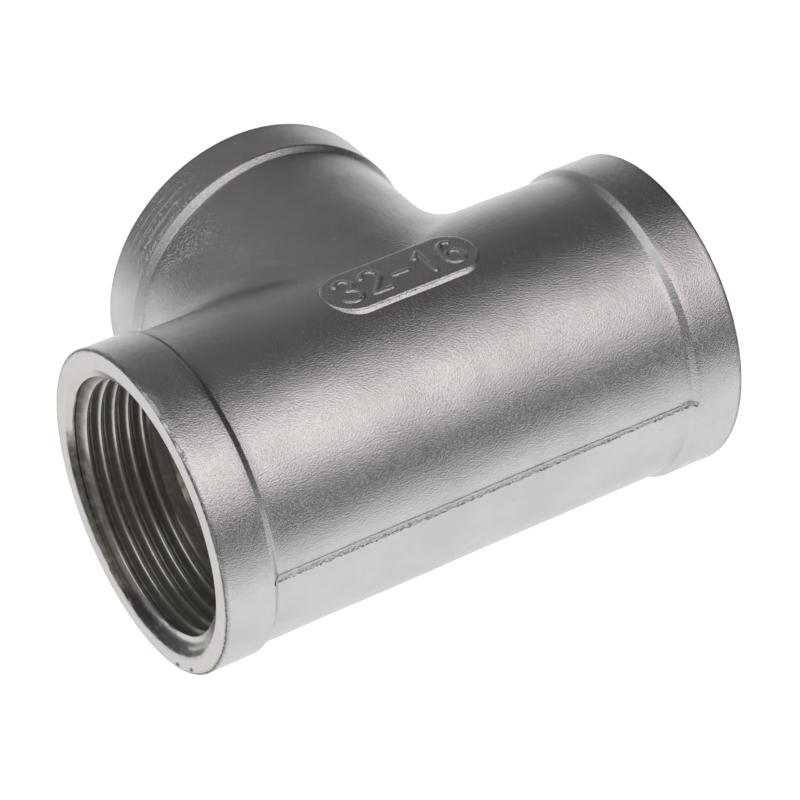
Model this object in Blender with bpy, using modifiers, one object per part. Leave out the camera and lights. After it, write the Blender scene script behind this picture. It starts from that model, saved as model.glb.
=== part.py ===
"""Threaded tee: one cast piece with three internally threaded mouths of the same size.

The run lies along X and the branch points along +Y, with both axes at one height.
The tee lies on its three mouth beads, and the origin is the middle of its footprint.
Units are metres and +Z is up.
"""
import math

import bmesh
import bpy
from mathutils import Matrix, Vector

# Lengths from the point where the two bore axes cross
RUN_HALF_LENGTH = 0.0445
BRANCH_LENGTH = 0.0445

# Internal parallel pipe thread, 55 degree form
THREAD_MAJOR_RADIUS = 0.020955
THREAD_PITCH = 0.002309
THREAD_LENGTH = 0.0175
THREAD_FLANK_ANGLE = math.radians(27.5)
DEPTH_PER_PITCH = 0.640327

# Walls, stepped outwards from the thread
CORE_RELIEF = 0.000924
BARREL_WALL = 0.0038
BEAD_RISE = 0.0008

# Reinforcing bead round each mouth, a little wider on the branch
RUN_BEAD_LENGTH = 0.0081
BRANCH_BEAD_LENGTH = 0.0089
SHOULDER_LENGTH = 0.0019
SHOULDER_ROUND = 0.0006
RIM_ROUND = 0.0004

# Countersink at the start of each thread
CHAMFER_STEP = 0.0009
COUNTERSINK_ANGLE = math.radians(120)

# Fillet that a ball rolling in the crotch between run and branch would leave
CROTCH_RADIUS = 0.0080

# Raised marking pad on the crown
PAD_LENGTH = 0.0253
PAD_WIDTH = 0.0091
PAD_RISE = 0.0003
PAD_WALL_ANGLE = math.radians(45)

# Ridge left by the mould joint along the front of the run
RIDGE_WIDTH = 0.0011
RIDGE_RISE = 0.0003

# Facets round a barrel, over the crotch fillet and round small arcs
BARREL_STEPS = 64
FILLET_STEPS = 6
ARC_STEPS = 2
PAD_END_STEPS = 8
THREAD_STEPS = 28

# Points closer than this are one point
WELD = 0.000001

# Sizes that follow from those above
THREAD_DEPTH = DEPTH_PER_PITCH * THREAD_PITCH
CREST_RADIUS = THREAD_MAJOR_RADIUS - THREAD_DEPTH
DRILLED_RADIUS = CREST_RADIUS - THREAD_DEPTH / 4
CORE_RADIUS = CREST_RADIUS + CORE_RELIEF
BARREL_RADIUS = CORE_RADIUS + BARREL_WALL
BEAD_RADIUS = BARREL_RADIUS + BEAD_RISE
CHAMFER_RADIUS = THREAD_MAJOR_RADIUS + CHAMFER_STEP
BURIED = BARREL_WALL / 2

# The crossing point of the axes, with the footprint centred on the origin
CROSSING = Vector((0.0, (BEAD_RADIUS - BRANCH_LENGTH) / 2, BEAD_RADIUS))

# Each mouth's outward direction and its distance from the crossing
MOUTHS = {
    "left": (Vector((-1, 0, 0)), RUN_HALF_LENGTH),
    "right": (Vector((1, 0, 0)), RUN_HALF_LENGTH),
    "branch": (Vector((0, 1, 0)), BRANCH_LENGTH),
}

CAST_STEEL = {"color": (0.44, 0.42, 0.40, 1.0), "roughness": 0.42, "metallic": 1.0}


def clear_scene():
    for obj in list(bpy.data.objects):
        bpy.data.objects.remove(obj, do_unlink=True)


def new_collection(name):
    collection = bpy.data.collections.new(name)
    bpy.context.scene.collection.children.link(collection)
    return collection


def cast_steel_material():
    material = bpy.data.materials.new("cast_stainless")
    material.use_nodes = True
    shader = material.node_tree.nodes["Principled BSDF"]
    shader.inputs["Base Color"].default_value = CAST_STEEL["color"]
    shader.inputs["Roughness"].default_value = CAST_STEEL["roughness"]
    shader.inputs["Metallic"].default_value = CAST_STEEL["metallic"]
    return material


def object_from_bmesh(name, bm, collection, matrix):
    mesh = bpy.data.meshes.new(name)
    bm.to_mesh(mesh)
    bm.free()
    mesh.shade_smooth()
    mesh.set_sharp_from_angle(angle=math.radians(30))
    obj = bpy.data.objects.new(name, mesh)
    obj.matrix_world = matrix
    collection.objects.link(obj)
    return obj


def as_tool(obj):
    """Marks a shape that only cuts or joins, so that it isn't a part itself."""
    obj.hide_render = True
    obj.display_type = "WIRE"
    return obj


def axis_frame(direction):
    """Turns local +Z to the mouth's direction and local +X upwards."""
    up = Vector((0, 0, 1))
    side = direction.cross(up)
    rotation = Matrix((up, side, direction)).transposed().to_4x4()
    return Matrix.Translation(CROSSING) @ rotation


def rounded_corner(before, corner, after, radius):
    """Points of an arc that replaces a corner between two straight stretches."""
    corner = Vector(corner)
    to_before = (Vector(before) - corner).normalized()
    to_after = (Vector(after) - corner).normalized()
    half_angle = to_before.angle(to_after) / 2
    centre = corner + (to_before + to_after).normalized() * radius / math.sin(half_angle)
    setback = radius / math.tan(half_angle)
    start = (corner + to_before * setback - centre).normalized()
    end = (corner + to_after * setback - centre).normalized()
    return [tuple(centre + radius * start.slerp(end, step / ARC_STEPS)) for step in range(ARC_STEPS + 1)]


def turned(name, profile, collection, matrix):
    """Solid of revolution about local Z, from (radius, height) points run top to bottom."""
    bm = bmesh.new()
    points = [bm.verts.new((radius, 0, height)) for radius, height in profile]
    for upper, lower in zip(points, points[1:]):
        bm.edges.new((upper, lower))
    obj = object_from_bmesh(name, bm, collection, matrix)
    screw = obj.modifiers.new("turn", "SCREW")
    screw.axis = "Z"
    screw.steps = BARREL_STEPS
    screw.render_steps = BARREL_STEPS
    screw.use_merge_vertices = True
    screw.merge_threshold = WELD
    return as_tool(obj)


def boolean(body, operation, tool):
    modifier = body.modifiers.new(tool.name, "BOOLEAN")
    modifier.operation = operation
    modifier.solver = "EXACT"
    modifier.object = tool


def run_point(side, angle, distance, radius):
    return Vector((side * distance, radius * math.sin(angle), radius * math.cos(angle)))


def branch_point(side, angle, distance, radius):
    return Vector((side * radius * math.sin(angle), distance, radius * math.cos(angle)))


def contact_distance(angle):
    """How far out along a leg the rolling ball touches it, or 0 where no leg is beside it."""
    return (BARREL_RADIUS + CROTCH_RADIUS) * max(math.sin(angle), 0.0)


def fillet_point(side, angle, share):
    """Point on the crotch fillet, from its line of contact on the run to that on the branch."""
    reach = BARREL_RADIUS + CROTCH_RADIUS
    centre = Vector((reach * math.sin(angle), reach * math.sin(angle), reach * math.cos(angle)))
    to_run = Vector((0, -math.sin(angle), -math.cos(angle)))
    to_branch = Vector((-math.sin(angle), 0, -math.cos(angle)))
    point = centre + CROTCH_RADIUS * to_run.slerp(to_branch, share)
    return Vector((side * point.x, point.y, point.z))


def bead_profile(length, bead_length):
    """Outside of one mouth, as (distance, radius) from the end of the barrel to the face."""
    foot = (length - bead_length - SHOULDER_LENGTH, BARREL_RADIUS)
    shoulder = (length - bead_length, BEAD_RADIUS)
    rim = (length, BEAD_RADIUS)
    face = (length, CREST_RADIUS)
    profile = [foot]
    profile += rounded_corner(foot, shoulder, rim, SHOULDER_ROUND)
    profile += rounded_corner(shoulder, rim, face, RIM_ROUND)
    return profile


def add_band(bm, lower, upper, closed):
    """Quads between two rows of vertices of equal length."""
    count = len(lower)
    for index in range(count if closed else count - 1):
        following = (index + 1) % count
        bm.faces.new((lower[index], lower[following], upper[following], upper[index]))


def add_leg(bm, place, side, angles, root_distances, length, bead_length):
    """Barrel and bead of one leg, from its saddle-shaped root line to its flat face."""
    rows = [[place(side, angle, root, BARREL_RADIUS) for angle, root in zip(angles, root_distances)]]
    for distance, radius in bead_profile(length, bead_length):
        rows.append([place(side, angle, distance, radius) for angle in angles])
    rows = [[bm.verts.new(point) for point in row] for row in rows]
    for lower, upper in zip(rows, rows[1:]):
        add_band(bm, lower, upper, closed=True)
    bm.faces.new(rows[-1])


def cast_skin(collection):
    """Solid body: three legs lofted from where they meet each other and the crotch fillets."""
    bm = bmesh.new()
    angles = [2 * math.pi * index / BARREL_STEPS for index in range(BARREL_STEPS)]
    run_roots = [contact_distance(angle) for angle in angles]
    branch_roots = [max(contact_distance(angle), contact_distance(-angle)) for angle in angles]
    for side in (-1, 1):
        add_leg(bm, run_point, side, angles, run_roots, RUN_HALF_LENGTH, RUN_BEAD_LENGTH)
    add_leg(bm, branch_point, 1, angles, branch_roots, BRANCH_LENGTH, BRANCH_BEAD_LENGTH)
    half_turn = [math.pi * index / (BARREL_STEPS // 2) for index in range(BARREL_STEPS // 2 + 1)]
    for side in (-1, 1):
        rows = []
        for step in range(FILLET_STEPS + 1):
            row = [fillet_point(side, angle, step / FILLET_STEPS) for angle in half_turn]
            rows.append([bm.verts.new(point) for point in row])
        for lower, upper in zip(rows, rows[1:]):
            add_band(bm, lower, upper, closed=False)
    bmesh.ops.remove_doubles(bm, verts=bm.verts, dist=WELD)
    bmesh.ops.dissolve_degenerate(bm, edges=bm.edges, dist=WELD)
    bmesh.ops.recalc_face_normals(bm, faces=bm.faces)
    return object_from_bmesh("tee_body", bm, collection, Matrix.Translation(CROSSING))


def mouth_profile(length):
    """Countersink, drilled wall and cored wall of one mouth, run from outside inwards."""
    overrun = BEAD_RISE
    slope = math.tan(COUNTERSINK_ANGLE / 2)
    thread_end = length - THREAD_LENGTH
    return [
        (0, length + overrun),
        (CHAMFER_RADIUS + overrun * slope, length + overrun),
        (DRILLED_RADIUS, length - (CHAMFER_RADIUS - DRILLED_RADIUS) / slope),
        (DRILLED_RADIUS, thread_end),
        (CORE_RADIUS, thread_end - (CORE_RADIUS - DRILLED_RADIUS)),
    ]


def run_core(collection):
    half = mouth_profile(RUN_HALF_LENGTH)
    profile = half + [(radius, -height) for radius, height in reversed(half)]
    return turned("run_core", profile, collection, axis_frame(MOUTHS["right"][0]))


def branch_core(collection):
    profile = mouth_profile(BRANCH_LENGTH) + [(CORE_RADIUS, 0), (0, 0)]
    return turned("branch_core", profile, collection, axis_frame(MOUTHS["branch"][0]))


def thread_section():
    """One pitch of the tap's outline, as (radius, height): crest, flank, root and flank."""
    flank = THREAD_DEPTH * math.tan(THREAD_FLANK_ANGLE)
    flat = THREAD_PITCH / 2 - flank
    return [
        (CREST_RADIUS, 0),
        (CREST_RADIUS, flat),
        (THREAD_MAJOR_RADIUS, flat + flank),
        (THREAD_MAJOR_RADIUS, flat + flank + flat),
        (CREST_RADIUS, THREAD_PITCH),
    ]


def tap(name, direction, length, collection):
    """Right-hand threaded plug that leaves the thread behind when it is cut away."""
    bottom = length - THREAD_LENGTH - (CORE_RADIUS - DRILLED_RADIUS) - THREAD_PITCH
    turns = math.ceil((length - bottom) / THREAD_PITCH)
    bm = bmesh.new()
    points = [bm.verts.new((radius, 0, bottom + height)) for radius, height in thread_section()]
    section = [bm.edges.new(pair) for pair in zip(points, points[1:])]
    bmesh.ops.spin(
        bm,
        geom=points + section,
        axis=(0, 0, 1),
        cent=(0, 0, 0),
        dvec=(0, 0, THREAD_PITCH / THREAD_STEPS),
        angle=2 * math.pi * turns,
        steps=THREAD_STEPS * turns,
    )
    bmesh.ops.remove_doubles(bm, verts=bm.verts, dist=WELD)
    middle = bottom + turns * THREAD_PITCH / 2
    open_edges = [edge for edge in bm.edges if edge.is_boundary]
    for is_outer in (False, True):
        loop = [edge for edge in open_edges if (edge.verts[0].co.z > middle) == is_outer]
        height = sum(vert.co.z for edge in loop for vert in edge.verts) / (2 * len(loop))
        hub = bm.verts.new((0, 0, height))
        for edge in loop:
            bm.faces.new((edge.verts[0], edge.verts[1], hub))
    bmesh.ops.recalc_face_normals(bm, faces=bm.faces)
    return as_tool(object_from_bmesh(name, bm, collection, axis_frame(direction)))


def oblong(length, width, height):
    """Points round an oblong with round ends, at one height over the crossing."""
    end_radius = width / 2
    straight = length / 2 - end_radius
    points = []
    for side in (1, -1):
        for step in range(PAD_END_STEPS + 1):
            angle = math.pi * (step / PAD_END_STEPS - 0.5)
            along, across = straight + end_radius * math.cos(angle), end_radius * math.sin(angle)
            points.append((side * along, side * across, height))
    return points


def marking_pad(collection):
    """Oblong block with sloped walls, sunk into the crown."""
    depth = PAD_RISE + BURIED
    spread = 2 * depth * math.tan(PAD_WALL_ANGLE)
    top = BARREL_RADIUS + PAD_RISE
    bm = bmesh.new()
    upper = [bm.verts.new(point) for point in oblong(PAD_LENGTH, PAD_WIDTH, top)]
    lower = [bm.verts.new(point) for point in oblong(PAD_LENGTH + spread, PAD_WIDTH + spread, top - depth)]
    add_band(bm, lower, upper, closed=True)
    bm.faces.new(upper)
    bm.faces.new(lower)
    bmesh.ops.recalc_face_normals(bm, faces=bm.faces)
    return as_tool(object_from_bmesh("marking_pad", bm, collection, Matrix.Translation(CROSSING)))


def parting_ridge(collection):
    """Low bar on the front of the run, in the plane of the three axes."""
    length = 2 * (RUN_HALF_LENGTH - RUN_BEAD_LENGTH)
    depth = BURIED + RIDGE_RISE
    bm = bmesh.new()
    bmesh.ops.create_cube(bm, size=1)
    bmesh.ops.scale(bm, vec=(length, depth, RIDGE_WIDTH), verts=bm.verts)
    centre = CROSSING + Vector((0, -BARREL_RADIUS - RIDGE_RISE + depth / 2, 0))
    return as_tool(object_from_bmesh("parting_ridge", bm, collection, Matrix.Translation(centre)))


def main():
    clear_scene()
    parts = new_collection("threaded_tee")
    tools = new_collection("threaded_tee_cutters")
    body = cast_skin(parts)
    body.data.materials.append(cast_steel_material())
    boolean(body, "UNION", marking_pad(tools))
    boolean(body, "UNION", parting_ridge(tools))
    boolean(body, "DIFFERENCE", run_core(tools))
    boolean(body, "DIFFERENCE", branch_core(tools))
    for name, (direction, length) in MOUTHS.items():
        boolean(body, "DIFFERENCE", tap(f"{name}_tap", direction, length, tools))


main()
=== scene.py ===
"""Looks of a cast stainless threaded tee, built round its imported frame.

The run lies along X and the branch points along +Y. Lengths are metres and +Z is up.
"""
import math
import random
from collections import namedtuple

import bmesh
import bpy
import numpy as np
from bpy.props import FloatProperty, FloatVectorProperty, PointerProperty, StringProperty
from mathutils import Matrix, Vector
from mathutils.bvhtree import BVHTree


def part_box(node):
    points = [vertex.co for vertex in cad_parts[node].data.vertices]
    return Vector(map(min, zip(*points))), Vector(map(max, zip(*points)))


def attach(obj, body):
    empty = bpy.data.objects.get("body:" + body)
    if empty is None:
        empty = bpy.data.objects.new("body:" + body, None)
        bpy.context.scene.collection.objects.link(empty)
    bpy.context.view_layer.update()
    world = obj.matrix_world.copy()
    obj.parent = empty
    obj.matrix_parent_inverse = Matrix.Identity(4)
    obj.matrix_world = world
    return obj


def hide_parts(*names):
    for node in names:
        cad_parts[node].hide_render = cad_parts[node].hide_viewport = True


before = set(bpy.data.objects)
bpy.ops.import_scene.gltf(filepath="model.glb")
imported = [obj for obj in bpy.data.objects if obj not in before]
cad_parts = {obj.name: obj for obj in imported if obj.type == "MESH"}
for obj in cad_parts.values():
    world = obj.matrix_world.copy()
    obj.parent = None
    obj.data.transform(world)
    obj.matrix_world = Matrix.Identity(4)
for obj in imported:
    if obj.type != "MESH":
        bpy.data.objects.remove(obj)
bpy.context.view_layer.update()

bl_info = {
    "name": "Threaded Tee",
    "version": (1, 0, 0),
    "blender": (4, 5, 0),
    "location": "View3D > Sidebar > Tee",
    "description": "Builds a cast and machined threaded tee and its pale studio",
    "category": "Object",
}

MM = 0.001
WELD = 0.000001
LOW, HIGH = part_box("tee_body")
CENTRE_HEIGHT = (HIGH.z - LOW.z) / 2
CROSSING = Vector((0, LOW.y + CENTRE_HEIGHT, LOW.z + CENTRE_HEIGHT))

# Numbers of points round a leg, and of rows along its stretches
COLUMNS = 160
BARREL_ROWS = 24
FILLET_ROWS = 16
SHOULDER_ROWS = 10
LAND_ROWS = 6
SCUFFED_LAND_ROWS = 24
RIM_ROWS = 5
WALL_ROWS = 8

# Faces that meet at a wider angle than this have a sharp edge, and directions closer than this
# are one direction
SHARP_EDGE = math.radians(35)
ONE_DIRECTION = 0.000001

# Fall of a countersink's radius for each unit of depth
COUNTERSINK_SLOPE = math.tan(math.radians(60))

# Material slots of the casting
CAST, MACHINED, CORED = range(3)

# Rounded 55 degree thread form: radius of its crests and roots and height of its rise, both in
# pitches, and the slant of its flanks
THREAD_ROUNDING = 0.137329
THREAD_RISE = 0.640327
THREAD_FLANK = math.radians(27.5)

# Rows of the thread as (turn, place): the first, flat on the countersink's edge, and the one on the flank
# outside the first crest, where a painted shade line of the countersink's edge lies
FIRST_ROW = (-2, 0)
FOULED_ROW = (-1, 0.75)

# Finish of the thread, with painted light: how a painted highlight on the rising flanks brightens towards
# the crests, brightness that only the crests have, place from which the first crest is rubbed and how
# strongly, share of the film that is rubbed off falling and rising flanks, width over which the film starts
# and the painted shade that the mouth adds to it, painted shade on the shaded row, and width over which the
# dirt ends, in pitches and in its own depths
FLANK_REACH = 0.44
FLANK_POWER = 1.7
CREST_ONLY = 0.95
RUBBED_FROM = 0.8
RUBBED_FIRST = 0.8
FALLING_CLEARED = 0.10
RISING_CLEARED = 0.30
FILM_START = 0.25 * MM
MOUTH_FILM = 0.35
FOULED_DIRT = 0.9
DIRT_FADE = (0.1, 0.6)

# Dirt and painted shade round a mouth as (degrees from up, share): dirt on the countersinks, a painted dark
# reflection on the corners of the beads and painted shade at the shoulders' feet, and how deep in pitches
# the countersinks' dirt goes
EDGE_DIRT = (
    (0, 0), (85, 0.1), (98, 1.6), (122, 1.5), (135, 1.2), (158, 1.2),
    (166, 1.8), (210, 1.7), (226, 1.2), (238, 0.3), (250, 0),
)
CORNER_DIRT = ((0, 0.55), (36, 0.55), (48, 0.3), (300, 0.35), (350, 0.5))
FOOT_DIRT = ((0, 1.2), (30, 1.2), (60, 0.4), (90, 0), (320, 0), (345, 0.6))
DIRT_DEPTH = ((0, 0.33), (198, 0.33), (214, 0.12), (250, 0.1), (270, 0.33))
# Painted dark reflection all round the right bead's corner, and weaker painted shade at the other legs'
# shoulders
RIGHT_CORNER_DIRT = 0.9
OTHER_FOOT_DIRT = 0.2

# Wear and painted light round a mouth in the same form: a painted reflection on the thread's crests,
# brighter at some angles than others, knocks that have bevelled the left bead's corner, scuffs on the
# branch, flaked dirt on the left countersink's edge and two nicks of the left rim, and how strong the
# scuffs are on the branch's barrel and on its bead
CREST_SHINE = (
    (0, 0.9), (94, 1.0), (101, 0.5), (112, 0.3), (132, 0.25), (142, 0.6),
    (150, 0.9), (168, 0.9), (174, 0.25), (200, 0.3), (270, 0.8),
)
KNOCKS = ((0, 0), (318, 0), (324, 1), (352, 1), (357, 0))
SCUFFS = ((0, 0), (294, 0), (306, 1), (322, 1), (338, 0))
BARE_EDGE = ((115, 0), (128, 1), (162, 1), (172, 0))
NICKS = ((199, 0), (200, 1), (201, 1), (202, 0), (210, 0), (211, 1), (212, 1), (213, 0))
BARREL_SCUFFS = 0.36
BEAD_SCUFFS = 0.9

# Ranges of the seeded draws that break up knocks, scuffs, dirt and painted shade
KNOCK_DRAW = (-0.4, 1.6)
SCUFF_DRAW = (-0.6, 1)
CORNER_DIRT_DRAW = (0.6, 1.1)
EDGE_DIRT_DRAW = (0.2, 1.2)
THREAD_DIRT_DRAW = (0.7, 1.0)

# The mould's slow unevenness, and the range of its waves
CAST_SEED = 7
CAST_WAVES = 14
CAST_WAVELENGTHS = (7 * MM, 20 * MM)

# The two raised details: steps of their grids, room round them, slope of the pad's wall and taper
# of the ridge, how deep their edges and bases lie in the casting, and sizes of the ridge's texture
PAD_GRID = 0.1 * MM
PAD_MARGIN = 1.0 * MM
PAD_SLOPE = 1.15
PAD_SEAT = 0.05 * MM
PAD_BASE = Vector((0, 0, -0.4 * MM))
RIDGE_GRID = (0.12 * MM, 0.06 * MM)
RIDGE_ENDS = 0.3 * MM
RIDGE_SEAT = 0.04 * MM
RIDGE_BASE = Vector((0, 0.3 * MM, 0))
RIDGE_TAPER = 0.35
RIDGE_LUMPS = 0.34 * MM
RIDGE_PITS = 0.22 * MM

# How far lumps and pits move the ridge's ragged outline, width of its slope, widths of the dirt and painted
# shade along its ragged side and of the painted shade line along its even one, how far out that line lies,
# width of the dirt's start over its pits, and width of its rubbed edge
LUMP_SHIFT = 0.45 * MM
PIT_SHIFT = 0.15 * MM
RIDGE_SLOPE = 0.12 * MM
RAGGED_DIRT = 0.16 * MM
EVEN_DIRT = 0.07 * MM
EVEN_DIRT_OUT = 0.03 * MM
PIT_DIRT_START = 0.1 * MM
RIDGE_RUBBED = 0.25 * MM

# Width of a numeral and step to the next one, in its heights, and half width of a stroke's flat top
# and width of its slope, in widths of a stroke
NUMERAL_WIDTH = 0.6
NUMERAL_STEP = 0.84
STROKE_TOP = 0.15
STROKE_SLOPE = 0.4


def length(name, description, default):
    return FloatProperty(
        name=name, description=description, default=default, min=0, unit="LENGTH", precision=5
    )


def colour(name, description, default):
    return FloatVectorProperty(
        name=name, description=description, default=default, min=0, max=1, subtype="COLOR"
    )


def level(name, description, default):
    return FloatProperty(name=name, description=description, default=default, min=0, soft_max=2)


class TeeSizes(bpy.types.PropertyGroup):
    """Sizes of the casting, its threads and its raised details."""

    run_half_length: length("Run half length", "From the crossing to a run mouth", HIGH.x)
    branch_length: length("Branch length", "From the crossing to the branch mouth", HIGH.y - CROSSING.y)
    bead_radius: length("Bead radius", "Outside of the bead round each mouth", CENTRE_HEIGHT)
    bead_rise: length("Bead rise", "Step from the barrel up to the bead", 0.0008)
    bead_length: length("Run bead length", "Full width of a run bead, back from its face", 0.0077)
    branch_bead_length: length("Branch bead length", "Full width of the branch bead", 0.0073)
    shoulder_length: length("Shoulder length", "Slope between barrel and bead", 0.0013)
    rim_round: length("Rim round", "Radius of the bead's outer corner", 0.0004)
    crotch_radius: length("Crotch radius", "Ball that rolls between run and branch", 0.0080)
    core_radius: length("Core radius", "Cast bore between the threads", 0.0204)
    core_round: length("Core round", "Radius where the cored bores meet", 0.0010)
    chamfer_radius: length("Chamfer radius", "Mouth of the countersink", 0.02186)
    edge_break: length("Edge break", "Small bevel of the machined edges", 0.0001)
    thread_major: length("Thread major radius", "Radius at the thread's roots", 0.020955)
    thread_pitch: length("Thread pitch", "Distance between two crests", 0.002309)
    thread_start: length("Thread start", "Depth of the first crest at the top", 0.0005)
    thread_length: length("Thread length", "Depth of full thread", 0.0120)
    socket_depth: length("Socket depth", "Depth at which the last groove has run out", 0.0150)
    unevenness: length("Unevenness", "Deepest dip of the cast skin", 0.00007)
    pad_length: length("Pad length", "Long side of the marking pad", 0.0253)
    pad_width: length("Pad width", "Short side of the marking pad", 0.0091)
    pad_shift: length("Pad shift", "Pad's middle, to the right of the crossing", 0.0005)
    pad_rise: length("Pad rise", "Top of the pad over the crown", 0.00013)
    pad_round: length("Pad round", "Softness of the pad's upper edge", 0.00018)
    number_height: length("Number height", "Height of a numeral", 0.0052)
    number_rise: length("Number rise", "Height of a stroke over the pad", 0.00025)
    stroke_width: length("Stroke width", "Width of a stroke at its foot", 0.0011)
    numbers: StringProperty(name="Numbers", description="Plain numbers on the pad", default="32-16")
    ridge_width: length("Ridge width", "Width of the parting ridge at the left", 0.0012)
    ridge_lift: length("Ridge lift", "Ridge's middle, over the height of the crossing", 0.0005)
    ridge_rise: length("Ridge rise", "Height of the parting ridge", 0.00026)


class TeeColours(bpy.types.PropertyGroup):
    """Colours of the steel's three finishes."""

    cast: colour("Cast skin", "Blasted and pickled casting", (0.60, 0.587, 0.594))
    cast_dull: colour("Dull patches", "Darker clouds of the casting", (0.49, 0.478, 0.483))
    machined: colour("Machined steel", "Turned faces and threads", (0.62, 0.60, 0.59))
    groove: colour("Thread grooves", "Oil and oxide in the grooves", (0.24, 0.22, 0.185))
    # The cored wall's colours are brightened past the steel's own to stand in for light reaching into the
    # bore: painted light
    cored: colour("Cored wall", "Rough bore left by the core", (0.95, 0.905, 0.87))
    cored_dull: colour("Cored wall's patches", "Darker clouds of the cored wall", (0.84, 0.795, 0.76))
    # The grime colour paints dirt on the ridge and also painted shade and dark reflections on the beads'
    # corners, the shoulders' feet and the ridge's sides
    grime: colour("Grime", "Dirt left along the ridge and in the corners", (0.10, 0.095, 0.09))
    # Caked dirt; this colour also paints shade in the first groove at each mouth
    caked: colour("Caked dirt", "Thick dirt round the countersinks", (0.04, 0.036, 0.034))


class TeeStudio(bpy.types.PropertyGroup):
    """Levels and places of the studio."""

    table: colour("Table", "Pale matt table", (0.80, 0.80, 0.80))
    table_dim: colour("Table dim", "The table's own shade in reflections", (0.30, 0.30, 0.30))
    table_white: level("Table white", "White that the camera sees on the table", 0.85)
    table_mirrored: level("Table mirrored", "White that reflections see on the table", 0.93)
    table_front: length("Table front", "How far the table reaches in front of the tee", 0.13)
    table_left: length("Table left", "How far the table reaches left of the tee", 0.235)
    table_right: length("Table right", "How far the table reaches right of the tee", 0.30)
    ceiling: level("Ceiling", "Grey overhead", 0.205)
    ceiling_dark: level("Ceiling dark", "Darker room on the right", 0.075)
    front: level("Front", "Dim room behind the camera", 0.165)
    card: level("Card", "White card low on the left", 0.45)
    side_light: level("Side light", "Second softbox high on the left, for reflections", 1.0)
    softbox: level("Softbox", "Brightness of the large light", 1.20)
    softbox_distance: length("Softbox distance", "From the tee to the softbox", 0.70)
    camera_distance: length("Camera distance", "From the crossing to the camera", 0.489)


Leg = namedtuple("Leg", "name place side length turn bead")


def run_point(side, angle, distance, radius):
    """Point on a run leg; the angle goes from up towards the branch."""
    parts = np.broadcast_arrays(side * distance, radius * np.sin(angle), radius * np.cos(angle))
    return np.stack(parts, -1)


def branch_point(side, angle, distance, radius):
    """Point on the branch; the angle goes from up towards +X."""
    parts = np.broadcast_arrays(radius * np.sin(angle), side * distance, radius * np.cos(angle))
    return np.stack(parts, -1)


def tee_legs(sizes):
    """The three legs. A right-hand thread deepens the opposite way round on opposite mouths."""
    return (
        Leg("left", run_point, -1, sizes.run_half_length, -1, sizes.bead_length),
        Leg("right", run_point, 1, sizes.run_half_length, 1, sizes.bead_length),
        Leg("branch", branch_point, 1, sizes.branch_length, -1, sizes.branch_bead_length),
    )


def smooth_step(share):
    share = np.clip(share, 0, 1)
    return share * share * (3 - 2 * share)


def even_slope(share, corner=0.18):
    """Rise from 0 to 1 at a constant slope, with a short round at either end."""
    share = np.clip(share, 0, 1)
    near = np.minimum(share, 1 - share)
    rise = np.where(near < corner, near**2 / (2 * corner), near - corner / 2) / (1 - corner)
    return np.where(share > 0.5, 1 - rise, rise)


class Skin:
    """Grids of points gathered into one mesh, with a material and values of finish and painted light for
    each point.
    """

    def __init__(self):
        self.points, self.faces, self.materials = [], [], []
        self.values = {"lay_radius": [], "polish": [], "stain": [], "casting": []}
        self.count = 0

    def add_grid(self, grid, material, closed, lay=0.0, polish=0.0, stain=0.0):
        """Joins rows of points into quads; a closed grid also joins each row's ends."""
        rows, columns = grid.shape[:2]
        index = np.arange(rows * columns).reshape(rows, columns) + self.count
        left = index if closed else index[:, :-1]
        right = np.roll(index, -1, axis=1) if closed else index[:, 1:]
        quads = np.stack((left[:-1], right[:-1], right[1:], left[1:]), -1).reshape(-1, 4)
        self.points.append(grid.reshape(-1, 3))
        self.faces.append(quads)
        self.materials.append(np.full(len(quads), material))
        casting = float(material != MACHINED)
        given = {"lay_radius": lay, "polish": polish, "stain": stain, "casting": casting}
        for name, value in given.items():
            self.values[name].append(np.broadcast_to(value, (rows, columns)).reshape(-1))
        self.count += rows * columns

    def to_mesh(self, name):
        """Welded mesh in the frame's place, with every face turned outwards."""
        mesh = bpy.data.meshes.new(name)
        points = np.concatenate(self.points) + np.array(CROSSING)
        mesh.from_pydata(points.tolist(), [], np.concatenate(self.faces).tolist())
        mesh.polygons.foreach_set("material_index", np.concatenate(self.materials).astype(np.int32))
        for label, parts in self.values.items():
            attribute = mesh.attributes.new(label, "FLOAT", "POINT")
            attribute.data.foreach_set("value", np.concatenate(parts).astype(np.float32))
        bm = bmesh.new()
        bm.from_mesh(mesh)
        bmesh.ops.remove_doubles(bm, verts=bm.verts, dist=WELD)
        bmesh.ops.recalc_face_normals(bm, faces=bm.faces)
        bm.to_mesh(mesh)
        bm.free()
        return mesh


def contact(angles, reach, leg):
    """How far out along a leg the rolling ball touches it at each angle."""
    beside = np.sin(angles)
    return reach * (np.abs(beside) if leg.name == "branch" else np.maximum(beside, 0))


def add_fillets(skin, radius, ball, rows, material, stain=0.0):
    """Surface that a ball leaves when it rolls between two bores or barrels of one radius."""
    angle = np.linspace(0, math.pi, COLUMNS // 2 + 1)
    reach = radius + ball
    middle = np.stack((reach * np.sin(angle), reach * np.sin(angle), reach * np.cos(angle)), -1)
    to_run = np.stack((0 * angle, -np.sin(angle), -np.cos(angle)), -1)
    to_branch = np.stack((-np.sin(angle), 0 * angle, -np.cos(angle)), -1)
    between = np.arccos(np.clip((to_run * to_branch).sum(-1), -1, 1))
    same = between < ONE_DIRECTION
    sine = np.where(same, 1, np.sin(between))
    grid = []
    for share in np.linspace(0, 1, rows + 1):
        near = np.where(same, 1 - share, np.sin((1 - share) * between) / sine)
        far = np.where(same, share, np.sin(share * between) / sine)
        grid.append(middle + ball * (near[:, None] * to_run + far[:, None] * to_branch))
    grid = np.array(grid)
    skin.add_grid(grid, material, closed=False, stain=stain)
    skin.add_grid(grid * (-1, 1, 1), material, closed=False, stain=stain)


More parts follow.
